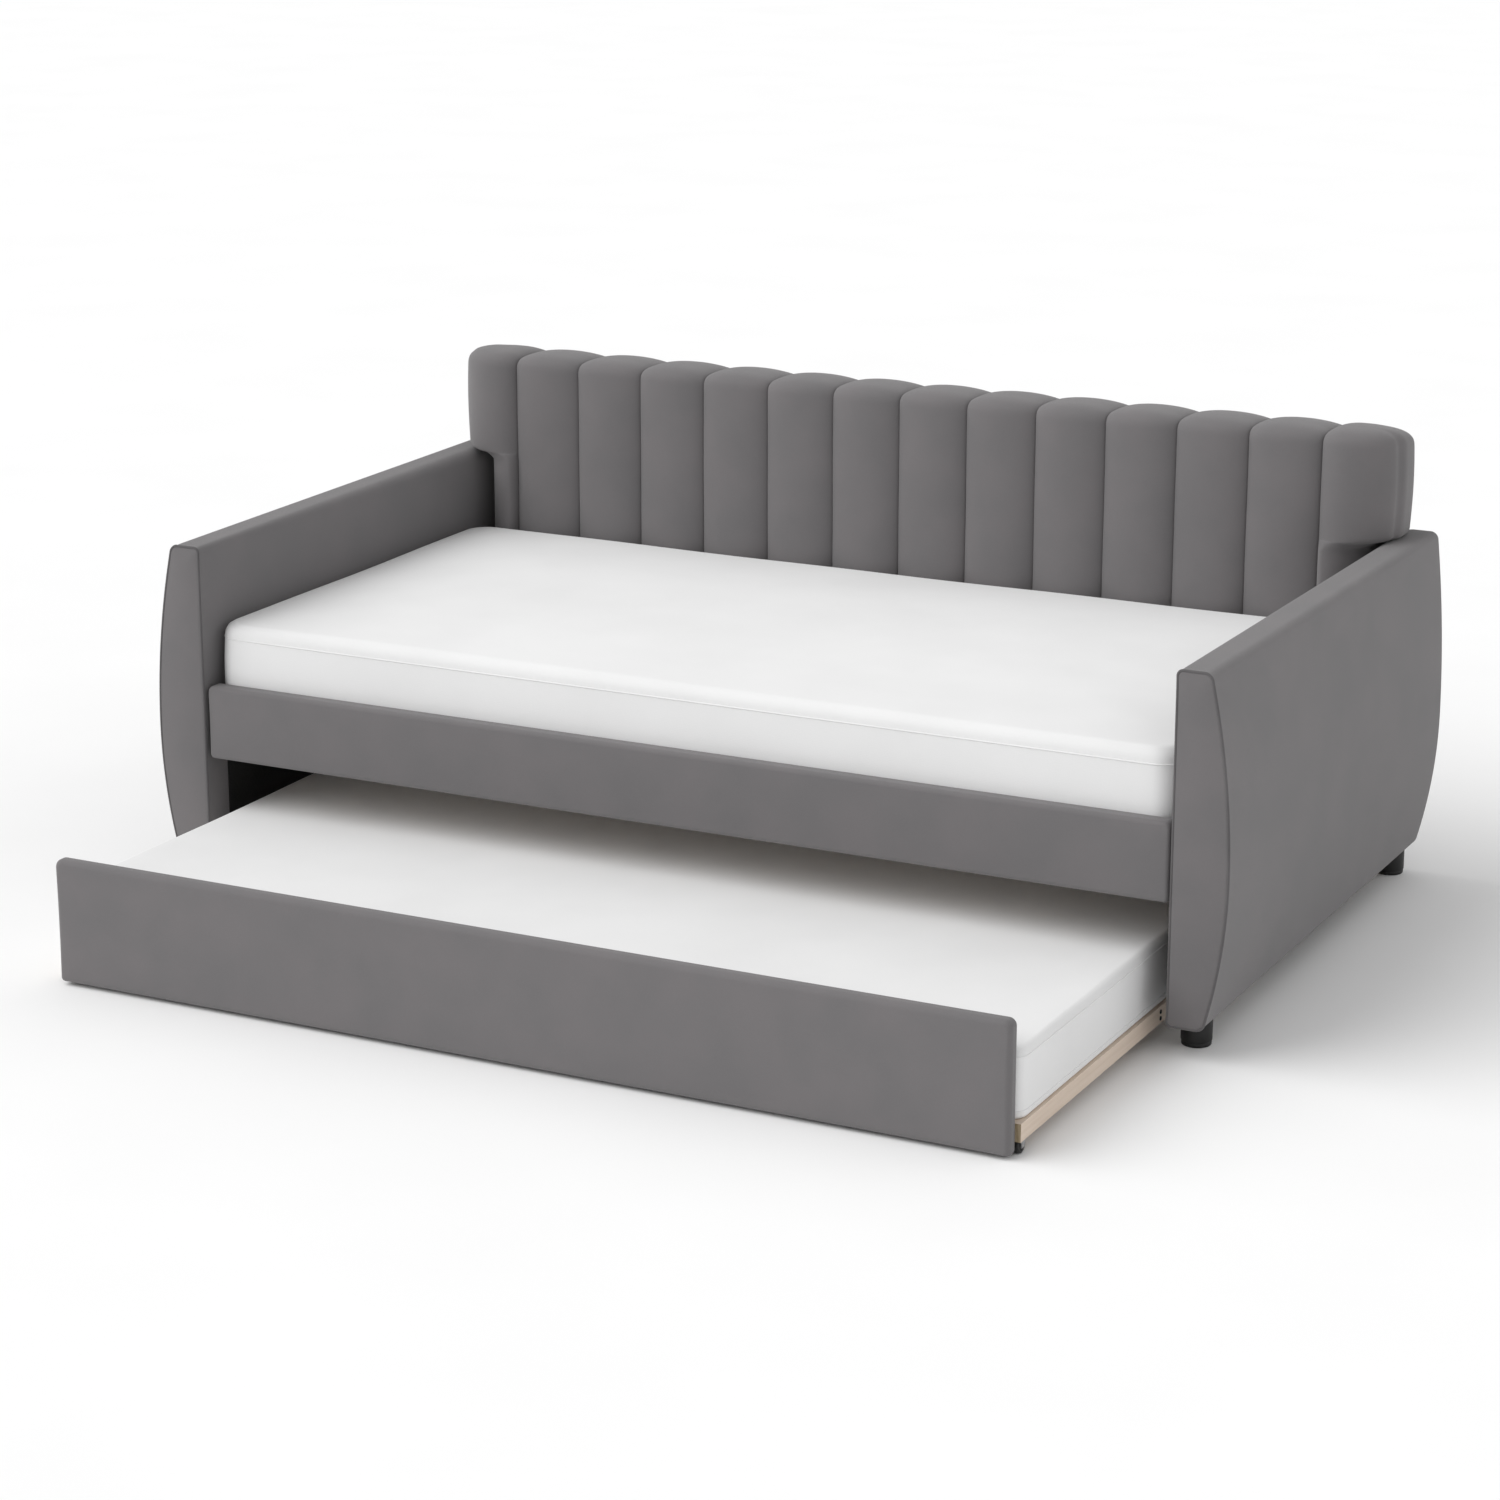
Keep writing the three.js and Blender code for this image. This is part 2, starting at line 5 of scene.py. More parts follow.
import bmesh
import bpy
import numpy as np
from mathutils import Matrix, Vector


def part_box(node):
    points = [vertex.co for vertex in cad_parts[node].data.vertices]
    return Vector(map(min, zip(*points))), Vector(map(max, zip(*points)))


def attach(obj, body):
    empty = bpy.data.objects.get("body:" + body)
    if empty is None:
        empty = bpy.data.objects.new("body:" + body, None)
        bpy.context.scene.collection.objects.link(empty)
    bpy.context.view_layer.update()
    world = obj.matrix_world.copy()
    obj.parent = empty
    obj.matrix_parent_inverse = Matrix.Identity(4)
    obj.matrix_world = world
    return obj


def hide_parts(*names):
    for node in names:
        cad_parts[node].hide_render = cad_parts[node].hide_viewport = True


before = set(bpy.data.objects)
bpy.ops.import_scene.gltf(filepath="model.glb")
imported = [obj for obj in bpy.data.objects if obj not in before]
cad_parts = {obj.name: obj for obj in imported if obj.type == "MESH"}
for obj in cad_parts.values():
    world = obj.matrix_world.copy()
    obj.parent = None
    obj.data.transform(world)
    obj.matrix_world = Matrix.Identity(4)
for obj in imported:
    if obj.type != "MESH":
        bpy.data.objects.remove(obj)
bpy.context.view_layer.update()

# ---------------------------------------------------------------- view, lights and floor

VIEW_TARGET = Vector((-0.0007, 0.0432, 0.3232))
VIEW_AZIMUTH, VIEW_ELEVATION, VIEW_DISTANCE = radians(26.886), radians(16.121), 7.1673
VIEW_LENS_MM, SENSOR_MM = 91.8, 36.0
CAMERA_CLIP_END = 200
FLOOR_HALF_SIZE = 150.0
SKY_STRENGTH = 0.63
SUN_ANGLE = radians(60)
# each sun: name, strength, direction that its light comes from
SUNS = (("left_key", 1.95, (-1.00, -0.60, 1.05)), ("right_fill", 0.3, (1.0, 0.4, 0.45)))


def linear(code, alpha=1.0):
    """Linear colour of an sRGB hex value: c / 12.92 up to 0.04045, ((c + 0.055) / 1.055) ** 2.4 above."""
    parts = [int(code[i:i + 2], 16) / 255 for i in (0, 2, 4)]
    return tuple(c / 12.92 if c <= 0.04045 else ((c + 0.055) / 1.055) ** 2.4 for c in parts) + (alpha,)


def link(item):
    """Puts an object in the scene."""
    bpy.context.scene.collection.objects.link(item)
    return item


def set_camera():
    """Camera at target + distance (sin az cos el, -cos az cos el, sin el), looking at the target."""
    data = bpy.data.cameras.new("camera")
    data.lens, data.sensor_width, data.clip_end = VIEW_LENS_MM, SENSOR_MM, CAMERA_CLIP_END
    camera = link(bpy.data.objects.new("camera", data))
    back = Vector((sin(VIEW_AZIMUTH) * cos(VIEW_ELEVATION), -cos(VIEW_AZIMUTH) * cos(VIEW_ELEVATION),
                   sin(VIEW_ELEVATION)))
    camera.location = VIEW_TARGET + VIEW_DISTANCE * back
    camera.rotation_euler = back.to_track_quat("Z", "Y").to_euler()
    bpy.context.scene.camera = camera


set_camera()


# ---------------------------------------------------------------- nodes and materials

def node(tree, kind, sockets=None, links=None, **settings):
    """Adds one shader node with its settings, the values of its sockets and the links into it."""
    made = tree.nodes.new("ShaderNode" + kind)
    for key, value in settings.items():
        setattr(made, key, value)
    for key, value in (sockets or {}).items():
        made.inputs[key].default_value = value
    for key, source in (links or {}).items():
        tree.links.new(source, made.inputs[key])
    return made


def new_material(name, **shader):
    """A material whose one shader has these socket values, with its node tree."""
    material = bpy.data.materials.new(name)
    material.use_nodes = True
    tree = material.node_tree
    tree.nodes.clear()
    names = {key: key.replace("_", " ") for key in shader}
    shaded = node(tree, "BsdfPrincipled", {names[key]: value for key, value in shader.items()})
    node(tree, "OutputMaterial", links={"Surface": shaded.outputs[0]})
    return material, tree, shaded


def speckle(tree, source, per_metre, detail=2.0, stretch=None):
    """Noise with the given number of cells in a metre, on a source of coordinates."""
    if stretch:
        source = node(tree, "Mapping", {"Scale": stretch}, {"Vector": source}).outputs[0]
    return node(tree, "TexNoise", {"Scale": per_metre, "Detail": detail}, {"Vector": source}).outputs[0]


def two_tones(tree, factor, dark, light, low=0.3, high=0.7):
    """Colour that goes from dark to light as the factor goes from low to high."""
    ramp = node(tree, "ValToRGB", links={"Fac": factor})
    first, last = ramp.color_ramp.elements
    first.position, first.color = low, linear(dark)
    last.position, last.color = high, linear(light)
    return ramp.outputs[0]


def mixed(tree, factor, first, second, blend="MIX"):
    """Colour mix: factor is a number or a socket, first and second are colour sockets or hex values."""
    made = node(tree, "Mix", data_type="RGBA", blend_type=blend)
    for index, value in ((0, factor), (6, first), (7, second)):
        if isinstance(value, bpy.types.NodeSocket):
            tree.links.new(value, made.inputs[index])
        else:
            made.inputs[index].default_value = linear(value) if isinstance(value, str) else value
    return made.outputs[2]


def calculated(tree, operation, first, second=0.0):
    """One arithmetic step on numbers or sockets."""
    made = node(tree, "Math", operation=operation)
    for index, value in enumerate((first, second)):
        if isinstance(value, bpy.types.NodeSocket):
            tree.links.new(value, made.inputs[index])
        else:
            made.inputs[index].default_value = value
    return made.outputs[0]


def raise_surface(tree, shaded, height, depth, strength=1.0):
    """Bump: height from 0 to 1 stands for the given depth."""
    bump = node(tree, "Bump", {"Strength": strength, "Distance": depth}, {"Height": height})
    tree.links.new(bump.outputs[0], shaded.inputs["Normal"])


def upholstery(name, dark, light, thread=0.0022):
    """Brushed polyester weave: warp and weft cross at a real 1.1 mm, drawn twice as coarse so that they show. The
    brushing leaves a soft nap that scatters light at the edges (sheen) and faint shade where it lies differently."""
    material, tree, shaded = new_material(name, Roughness=0.86, Sheen_Weight=0.22, Sheen_Roughness=0.45,
                                          Specular_IOR_Level=0.25)
    cloth = node(tree, "UVMap", uv_map="cloth").outputs[0]
    apart = node(tree, "SeparateXYZ", links={0: cloth})
    waves = [calculated(tree, "SINE", calculated(tree, "MULTIPLY", apart.outputs[i], 2 * pi / thread))
             for i in (0, 1)]
    weave = calculated(tree, "MULTIPLY_ADD", calculated(tree, "MULTIPLY", *waves), 0.5)
    weave.node.inputs[2].default_value = 0.5
    place = node(tree, "TexCoord").outputs["Object"]
    fibres = speckle(tree, place, 700, 3)
    nap = speckle(tree, place, 9, 3)
    tone = two_tones(tree, nap, dark, light, 0.35, 0.65)
    tone = mixed(tree, calculated(tree, "MULTIPLY", fibres, 0.16), tone, dark, "MULTIPLY")
    tone = mixed(tree, calculated(tree, "MULTIPLY", weave, 0.10), tone, "ffffff", "SOFT_LIGHT")
    tree.links.new(tone, shaded.inputs["Base Color"])
    raise_surface(tree, shaded, calculated(tree, "ADD", weave, calculated(tree, "MULTIPLY", fibres, 0.8)),
                  0.0003, 0.7)
    return material


def ticking(name):
    """White knitted mattress ticking: fine loops about 1.5 mm apart, drawn at 3 mm so that they show, over a thin
    fleece that gives a soft dull surface."""
    material, tree, shaded = new_material(name, Roughness=0.9, Sheen_Weight=0.12, Specular_IOR_Level=0.2)
    place = node(tree, "TexCoord").outputs["Object"]
    loops = node(tree, "TexVoronoi", {"Scale": 330.0, "Randomness": 0.35}, {"Vector": place},
                 feature="SMOOTH_F1").outputs[0]
    cloud = speckle(tree, place, 5, 2)
    tone = two_tones(tree, cloud, "e6e6e6", "eaeaea", 0.3, 0.7)
    tone = mixed(tree, calculated(tree, "MULTIPLY", loops, 0.06), tone, "d5d4d4", "MULTIPLY")
    tree.links.new(tone, shaded.inputs["Base Color"])
    raise_surface(tree, shaded, calculated(tree, "SUBTRACT", 1.0, loops), 0.0004, 0.5)
    return material


def lining(name):
    """Black spunbond lining: matted polypropylene fibres, welded in small dots 2 mm apart, that shine a little."""
    material, tree, shaded = new_material(name, Roughness=0.75, Specular_IOR_Level=0.35)
    place = node(tree, "TexCoord").outputs["Object"]
    dots = node(tree, "TexVoronoi", {"Scale": 500.0, "Randomness": 0.1}, {"Vector": place}).outputs[0]
    fibres = speckle(tree, place, 400, 4)
    tree.links.new(two_tones(tree, fibres, "101010", "242424"), shaded.inputs["Base Color"])
    raise_surface(tree, shaded, calculated(tree, "ADD", dots, fibres), 0.0003, 0.6)
    return material


def timber(name, axis):
    """Planed pale pine left unfinished, its grain along one axis: bands of early and late wood 4 to 8 mm wide, and
    end grain that soaks up dirt and looks darker and browner."""
    material, tree, shaded = new_material(name, Roughness=0.62, Specular_IOR_Level=0.35)
    place = node(tree, "TexCoord").outputs["Object"]
    along = [0.03 if i == axis else 1.0 for i in range(3)]
    bands = speckle(tree, place, 130, 3, along)
    pores = speckle(tree, place, 900, 2, [0.02 if i == axis else 1.0 for i in range(3)])
    board = speckle(tree, place, 4, 1, along)
    tone = two_tones(tree, bands, "d9c8b6", "e4d5c5", 0.32, 0.66)
    tone = mixed(tree, calculated(tree, "MULTIPLY", board, 0.5), tone, "dcc9ba")
    tone = mixed(tree, calculated(tree, "MULTIPLY", pores, 0.10), tone, "a98e70", "MULTIPLY")
    facing = node(tree, "SeparateXYZ", links={0: node(tree, "NewGeometry").outputs["Normal"]}).outputs[axis]
    end = calculated(tree, "GREATER_THAN", calculated(tree, "ABSOLUTE", facing), 0.9)
    rings = node(tree, "TexWave", {"Scale": 45.0, "Distortion": 3.0, "Detail": 2.0}, {"Vector": place},
                 wave_type="RINGS", rings_direction="XYZ"[axis]).outputs[1]
    end_tone = two_tones(tree, rings, "8f7f63", "a4937a", 0.2, 0.8)
    tree.links.new(mixed(tree, end, tone, end_tone), shaded.inputs["Base Color"])
    raise_surface(tree, shaded, calculated(tree, "ADD", bands, pores), 0.0003, 0.5)
    return material


def particle_board(name):
    """Raw particle board of the hidden frames: pressed chips 2 to 5 mm long in brown resin."""
    material, tree, shaded = new_material(name, Roughness=0.8, Specular_IOR_Level=0.25)
    place = node(tree, "TexCoord").outputs["Object"]
    chips = node(tree, "TexVoronoi", {"Scale": 260.0}, {"Vector": place})
    tone = mixed(tree, 0.35, "b39572", chips.outputs[1], "SOFT_LIGHT")
    tree.links.new(tone, shaded.inputs["Base Color"])
    raise_surface(tree, shaded, chips.outputs[0], 0.0004, 0.5)
    return material


def plated(name):
    """Bright zinc plate on pressed steel: a grey metal, slightly cloudy, with fine rolling marks."""
    material, tree, shaded = new_material(name, Metallic=1.0)
    place = node(tree, "TexCoord").outputs["Object"]
    cloud = speckle(tree, place, 60, 3)
    tree.links.new(two_tones(tree, cloud, "a2a3a6", "b9babc"), shaded.inputs["Base Color"])
    rough = node(tree, "MapRange", {"To Min": 0.28, "To Max": 0.5}, {"Value": cloud})
    tree.links.new(rough.outputs[0], shaded.inputs["Roughness"])
    raise_surface(tree, shaded, speckle(tree, place, 900, 2), 0.0001, 0.4)
    return material


def moulded(name, dark, light, roughness):
    """Moulded black plastic (polypropylene foot, nylon wheel): a fine spark texture and scuffed, paler patches."""
    material, tree, shaded = new_material(name, IOR=1.49, Roughness=roughness)
    place = node(tree, "TexCoord").outputs["Object"]
    tree.links.new(two_tones(tree, speckle(tree, place, 45, 4), dark, light, 0.4, 0.75),
                   shaded.inputs["Base Color"])
    raise_surface(tree, shaded, speckle(tree, place, 1400, 2), 0.00008, 0.6)
    return material


def floor_paint(name):
    """White studio floor: matt paint with a barely seen mottle."""
    material, tree, shaded = new_material(name, Roughness=0.95, Specular_IOR_Level=0.1)
    place = node(tree, "TexCoord").outputs["Object"]
    tree.links.new(two_tones(tree, speckle(tree, place, 2), "f6f6f6", "f8f8f8"), shaded.inputs["Base Color"])
    return material


GREY_CLOTH = upholstery("brushed_polyester_upholstery", "716f70", "757273")
# The piping is the cover's own fabric painted darker: painted shade along the piped seams.
PIPING_CLOTH_PAINTED_SHADE = upholstery("piping_cloth_painted_shade", "5c5a5b", "646263")
TICKING = ticking("knitted_mattress_ticking")
LINING = lining("spunbond_black_lining")
TIMBER_X, TIMBER_Y = timber("planed_pine_along_x", 0), timber("planed_pine_along_y", 1)
BOARD = particle_board("raw_particle_board")
STEEL = plated("zinc_plated_steel")
FOOT_PLASTIC = moulded("moulded_polypropylene_foot", "121212", "191919", 0.5)
WHEEL_PLASTIC = moulded("moulded_nylon_wheel", "191918", "272625", 0.5)


# ---------------------------------------------------------------- making surfaces

SHARP_ANGLE, MERGE_DISTANCE = radians(50), 2e-6


def grid_faces(rows, columns, first=0):
    """Quads between rows of points, where each row is a closed ring and first is the number of its first point."""
    row, column = np.mgrid[0:rows - 1, 0:columns]
    beside = (column + 1) % columns
    corners = (row * columns + column, row * columns + beside,
               (row + 1) * columns + beside, (row + 1) * columns + column)
    return np.stack(corners, -1).reshape(-1, 4) + first


def coordinates(mesh):
    """The mesh's points as an array of (x, y, z)."""
    flat = np.empty(len(mesh.vertices) * 3, np.float32)
    mesh.vertices.foreach_get("co", flat)
    return flat.reshape(-1, 3).astype(float)


def map_cloth(mesh):
    """UV map in metres: each face is laid flat along the axis that it mostly faces."""
    points, corners = coordinates(mesh), np.empty(len(mesh.loops), np.int32)
    mesh.loops.foreach_get("vertex_index", corners)
    facing, sizes = np.empty(len(mesh.polygons) * 3, np.float32), np.empty(len(mesh.polygons), np.int32)
    mesh.polygons.foreach_get("normal", facing)
    mesh.polygons.foreach_get("loop_total", sizes)
    axis = np.repeat(np.abs(facing.reshape(-1, 3)).argmax(1), sizes)
    flat = np.stack([np.where(axis == 0, 1, 0), np.where(axis == 2, 1, 2)], 1)
    uv = np.take_along_axis(points[corners], flat, 1)
    mesh.uv_layers.new(name="cloth").data.foreach_set("uv", uv.astype(np.float32).ravel())


def piece(name, grids, material, body, replaced=()):
    """Object from closed surfaces, each an array of rings (rows, ring, 3). Doubles are merged, which closes the
    poles, and faces are turned outwards."""
    starts = np.cumsum([0] + [grid.shape[0] * grid.shape[1] for grid in grids])
    faces = np.concatenate([grid_faces(*grid.shape[:2], start) for grid, start in zip(grids, starts)])
    mesh = bpy.data.meshes.new(name)
    mesh.from_pydata(np.concatenate([grid.reshape(-1, 3) for grid in grids]).tolist(), [], faces.tolist())
    shaped = bmesh.new()
    shaped.from_mesh(mesh)
    bmesh.ops.remove_doubles(shaped, verts=shaped.verts, dist=MERGE_DISTANCE)
    bmesh.ops.recalc_face_normals(shaped, faces=shaped.faces)
    shaped.to_mesh(mesh)
    shaped.free()
    map_cloth(mesh)
    mesh.shade_smooth()
    mesh.set_sharp_from_angle(angle=SHARP_ANGLE)
    mesh.materials.append(material)
    made = link(bpy.data.objects.new(name, mesh))
    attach(made, body)
    if replaced:
        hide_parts(*replaced)
    return made


def run(start, stop, steps):
    """Evenly spaced numbers that leave out the last."""
    return np.linspace(start, stop, steps, endpoint=False)


def oblong(across, along, radii, end_steps=5, corner_steps=8, long_steps=40):
    """Two sides of a rounded oblong, as matching points (across, along), each from the middle of the low end, round
    its corner, along, and round to the middle of the high end. A corner is (edge - r (1 - sin q), end + r (1 - cos q)).
    radii are (low side's low end, low side's high end, high side's low end, high side's high end)."""
    middle = (across[0] + across[1]) / 2
    quarter = run(0, pi / 2, corner_steps)
    sides = []
    for edge, sign, low, high in ((across[0], -1, *radii[:2]), (across[1], 1, *radii[2:])):
        a = [run(middle, edge - sign * low, end_steps), edge - sign * low * (1 - np.sin(quarter)),
             np.full(long_steps, edge), edge - sign * high * (1 - np.cos(quarter)),
             np.linspace(edge - sign * high, middle, end_steps + 1)]
        b = [np.full(end_steps, along[0]), along[0] + low * (1 - np.cos(quarter)),
             run(along[0] + low, along[1] - high, long_steps),
             along[1] - high * (1 - np.sin(quarter)), np.full(end_steps + 1, along[1])]
        sides.append(np.stack([np.concatenate(a), np.concatenate(b)], 1))
    return sides


def edge_profile(near, far, near_edge, far_edge, near_crown=0.0, far_crown=0.0, face=9, edge=8, side=12):
    """Rings from the middle of the near face, over its rounded edge and along the side, to the middle of the far
    face. Each row is (depth, inset from the outline, share of the way to the spine). A face falls away from its
    middle by crown (1 - share) ** 2, and an edge is a quarter circle."""
    share, back, q = run(1, 0, face), np.linspace(0, 1, face), run(0, pi / 2, edge)
    near_rim, far_rim = near + near_crown, far - far_crown
    rows = [
        (near + near_crown * (1 - share) ** 2, near_edge, share),
        (near_rim + near_edge * (1 - np.cos(q)), near_edge * (1 - np.sin(q)), 0),
        (run(near_rim + near_edge, far_rim - far_edge, side), 0, 0),
        (far_rim - far_edge * (1 - np.sin(q)), far_edge * (1 - np.cos(q)), 0),
        (far - far_crown * (1 - back) ** 2, far_edge, back),
    ]
    return np.concatenate([np.stack(np.broadcast_arrays(*row), 1) for row in rows])


LONGEST_TIP = 0.4


def rings(sides, profile, order):
    """Points of a padded panel: spine + (outline - spine) (1 - share) (1 - inset / reach), where the spine is the
    middle line of the outline, kept clear of its ends, and reach is the distance from it. At each end the spine stops
    half the outline's width short, or 0.4 of its length where that is less. order says which axes across, along and
    depth are."""
    low_side, high_side = sides
    spine = (low_side + high_side) / 2
    longest = LONGEST_TIP * (spine[-1, 1] - spine[0, 1])
    tips = [min(abs(high_side[i, 0] - low_side[i, 0]) / 2, longest) for i in (len(spine) // 4, -len(spine) // 4)]
    clear = np.flatnonzero((spine[:, 1] > spine[0, 1] + tips[0]) & (spine[:, 1] < spine[-1, 1] - tips[1]))
    spine[:clear[0]], spine[clear[-1]:] = spine[clear[0]], spine[clear[-1]]
    outline = np.concatenate([low_side, high_side[-2:0:-1]])
    core = np.concatenate([spine, spine[-2:0:-1]])
    reach = np.linalg.norm(outline - core, axis=1)
    depth, inset, share = profile.T[:, :, None]
    flat = core + (outline - core) * ((1 - share) * (1 - inset / reach))[..., None]
    made = np.empty(flat.shape[:2] + (3,))
    made[..., order[:2]] = flat
    made[..., order[2]] = depth
    return made


def cord(path, radius, axis, sides=10):
    """Round cord along a closed path that lies square to axis: path + r (cos t (tangent x axis) + sin t axis)."""
    tangent = np.roll(path, -1, 0) - np.roll(path, 1, 0)
    tangent /= np.linalg.norm(tangent, axis=1, keepdims=True)
    out = np.cross(tangent, axis)
    turn = run(0, 2 * pi, sides)[None, :, None]
    around = path[:, None] + radius * (np.cos(turn) * out[:, None] + np.sin(turn) * np.asarray(axis, float))
    return np.concatenate([around, around[:1]])


def turned(profile, centre, axis, steps=48):
    """Turned piece: a profile of (radius, height) carried round an axis through centre."""
    radius, height = np.asarray(profile, float).T[:, :, None]
    turn = run(0, 2 * pi, steps)[None]
    first, second = [i for i in range(3) if i != axis]
    made = np.empty((len(radius), steps, 3))
    made[..., first], made[..., second] = radius * np.cos(turn), radius * np.sin(turn)
    made[..., axis] = height
    return made + np.asarray(centre, float)


def slack(points, size, reach, seed):
    """Slight unevenness of stuffed cloth: size times the mean of three sine waves about reach long, each
    sin(k . point + phase)."""
    rng = np.random.default_rng(seed)
    waves, phase = rng.normal(size=(3, 3)) * 2 * pi / reach / 1.7, rng.uniform(0, 2 * pi, 3)
    return size * np.sin(points @ waves + phase).mean(-1)


# ---------------------------------------------------------------- arms

ARM_CROWN_HEIGHT, ARM_CROWN, ARM_FOOT = 0.330, 0.1025, 0.0645
FRONT_HEAD, BACK_HEAD = 0.0605, 0.080
FRONT_RADII, BACK_RADII = (0.008, 0.010, 0.012, 0.012), (0.008, 0.032, 0.014, 0.014)
ARM_FRONT_GAP, ARM_FRONT_EDGE, ARM_BACK_EDGE = 0.001, 0.006, 0.011
ARM_FRONT_CROWN, ARM_BACK_CROWN = 0.0025, 0.003
# the groove behind the piping: depth into the cloth, distance from the front and half width
GROOVE_DEPTH, GROOVE_AT, GROOVE_WIDTH = 0.0020, 0.0125, 0.0022
ARM_SLACK, ARM_SLACK_REACH, ARM_STILL = 0.0003, 0.4, 0.02
PIPING_RADIUS, PIPING_AT, PIPING_INSET = 0.0027, 0.0058, 0.0012


def arm_thickness(z, low, high, head):
    """Two parabolas: from the foot the arm swells to its crown, and draws in again to its head."""
    below = z < ARM_CROWN_HEIGHT
    end, thickness = np.where(below, low, high), np.where(below, ARM_FOOT, head)
    return ARM_CROWN - (ARM_CROWN - thickness) * ((z - ARM_CROWN_HEIGHT) / (end - ARM_CROWN_HEIGHT)) ** 2


def make_arm(side, sign):
    """The front section has a narrow head with tight edges. Towards the back it turns into a section with a fuller
    head whose inner edge is round, in proportion to the depth."""
    replaced = side + "_arm_cover"
    lo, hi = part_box(replaced)
    inner = min(abs(lo.x), abs(hi.x))

    def section(head, radii):
        halves = oblong((0, head), (lo.z, hi.z), radii, long_steps=56)
        for half in halves:
            half[:, 0] = sign * (inner + half[:, 0] / head * arm_thickness(half[:, 1], lo.z, hi.z, head))
        return halves
    front, back = section(FRONT_HEAD, FRONT_RADII), section(BACK_HEAD, BACK_RADII)
    profile = edge_profile(lo.y + ARM_FRONT_GAP, hi.y, ARM_FRONT_EDGE, ARM_BACK_EDGE, ARM_FRONT_CROWN,
                           ARM_BACK_CROWN, side=60)
    profile[:, 1] += GROOVE_DEPTH * np.exp(-((profile[:, 0] - lo.y - GROOVE_AT) / GROOVE_WIDTH) ** 2)
    near, far = (rings(halves, profile, [0, 2, 1]) for halves in (front, back))
    points = near + (far - near) * ((near[..., 1:2] - lo.y) / (hi.y - lo.y)).clip(0, 1)
    outside = np.abs(points[..., 0]) > inner + ARM_STILL
    points[..., 0] += sign * slack(points, ARM_SLACK, ARM_SLACK_REACH, 1) * outside
    piece(side + "_arm_upholstery", [points], GREY_CLOTH, "bed", [replaced])
    welt = rings(front, np.array([[lo.y + PIPING_AT, PIPING_INSET, 0.0]]), [0, 2, 1])[0]
    # The piping cord takes the darker cloth, which is painted shade along the seam.
    piece(side + "_arm_piping", [cord(welt, PIPING_RADIUS, (0, 1, 0))], PIPING_CLOTH_PAINTED_SHADE, "bed")


# ---------------------------------------------------------------- front rail and trundle front

FRONT_SLACK, FRONT_SLACK_REACH, FRONT_STILL = 0.0006, 0.25, 0.012


def make_front(name, replaced, body, radii, edges, crown):
    """Padded board with a crowned front: cloth pulled over foam and fixed behind."""
    lo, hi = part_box(replaced)
    sides = oblong((lo.z, hi.z), (lo.x, hi.x), radii, long_steps=120)
    profile = edge_profile(lo.y, hi.y, *edges, crown, face=14, side=6)
    points = rings(sides, profile, [2, 0, 1])
    before = points[..., 1] < hi.y - FRONT_STILL
    points[..., 1] += slack(points, FRONT_SLACK, FRONT_SLACK_REACH, 2) * before
    piece(name, [points], GREY_CLOTH, body, [replaced])


# ---------------------------------------------------------------- channelled back

SEAMS, SEAM_PITCH, OUTER_SEAM = 13, 0.146, 0.876
HEAD_CREST, SEAT_CREST = 0.922, 0.890
CHANNEL_BULGE, TOP_BULGE = 0.022, 0.014
HEAD_BOTTOM, HEAD_EDGE, UNDER_FILL = 0.6865, 0.012, 0.018
FRONT_SHOULDER, BACK_SHOULDER = 0.034, 0.038
FRONT_ROUND, BACK_ROUND = 3.4, 2.0
PEAK = 0.068
HEAD_TURN, SEAT_TURN = 0.090, 0.140
HEAD_CORNER, SEAT_CORNER = 0.078, 0.010
SIDE_CREASE, CREASE_DEPTH, CREASE_WIDTH = radians(72), 0.05, 0.12
BORDER_DROP = 0.008
END_SWELL, SWELL_FROM, SWELL_OVER = 0.004, 0.9, 0.1
BACK_SLACK, BACK_SLACK_REACH, BACK_LOOSE = 0.0012, 0.3, 0.05
SEAT_GAP = 0.006


def seat_half_width():
    """Half the width of what stands between the arms, with the gap at each side."""
    return -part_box("left_arm_cover")[1].x - SEAT_GAP


def fullness(t):
    """How full a channel is across its width, t from -1 to 1: (1 - |t| ** 2.1) ** 0.68."""
    return (1 - np.abs(t) ** 2.1).clip(0) ** 0.68


